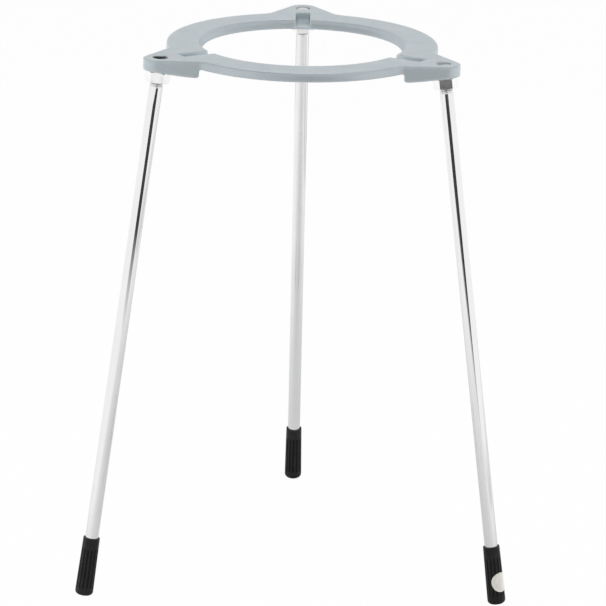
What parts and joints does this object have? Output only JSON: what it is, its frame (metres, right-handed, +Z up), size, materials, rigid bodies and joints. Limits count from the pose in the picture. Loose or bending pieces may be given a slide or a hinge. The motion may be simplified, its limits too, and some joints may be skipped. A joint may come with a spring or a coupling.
{
  "type": "lab tripod stand",
  "caption": "Laboratory tripod stand: flat grey cast ring with slotted lugs, splayed plated rods held by hex nuts, ribbed black rubber feet.",
  "frame": {"origin": "middle of the ring's opening, level with the ring's top face; the feet stand on a bench 0.25 m below it", "axes": "+Z up along the axis of the ring; +Y toward the back leg; +X to the right seen from the front, where the other two legs are nearer"},
  "size_m": [0.198, 0.1754, 0.25],
  "materials": {
    "casting": "satin grey paint over a slightly rough casting",
    "rod": "bright plated",
    "nut": "bright plated",
    "foot": "matt black, ribbed",
    "label": "off-white, bare"
  },
  "bodies": {
    "root": {"ring": "casting", "leg_back": "rod", "leg_left": "rod", "leg_right": "rod", "nut_back": "nut", "nut_left": "nut", "nut_right": "nut", "foot_back": "foot", "foot_left": "foot", "foot_right": "foot", "label": "label"}
  },
  "joints": []
}
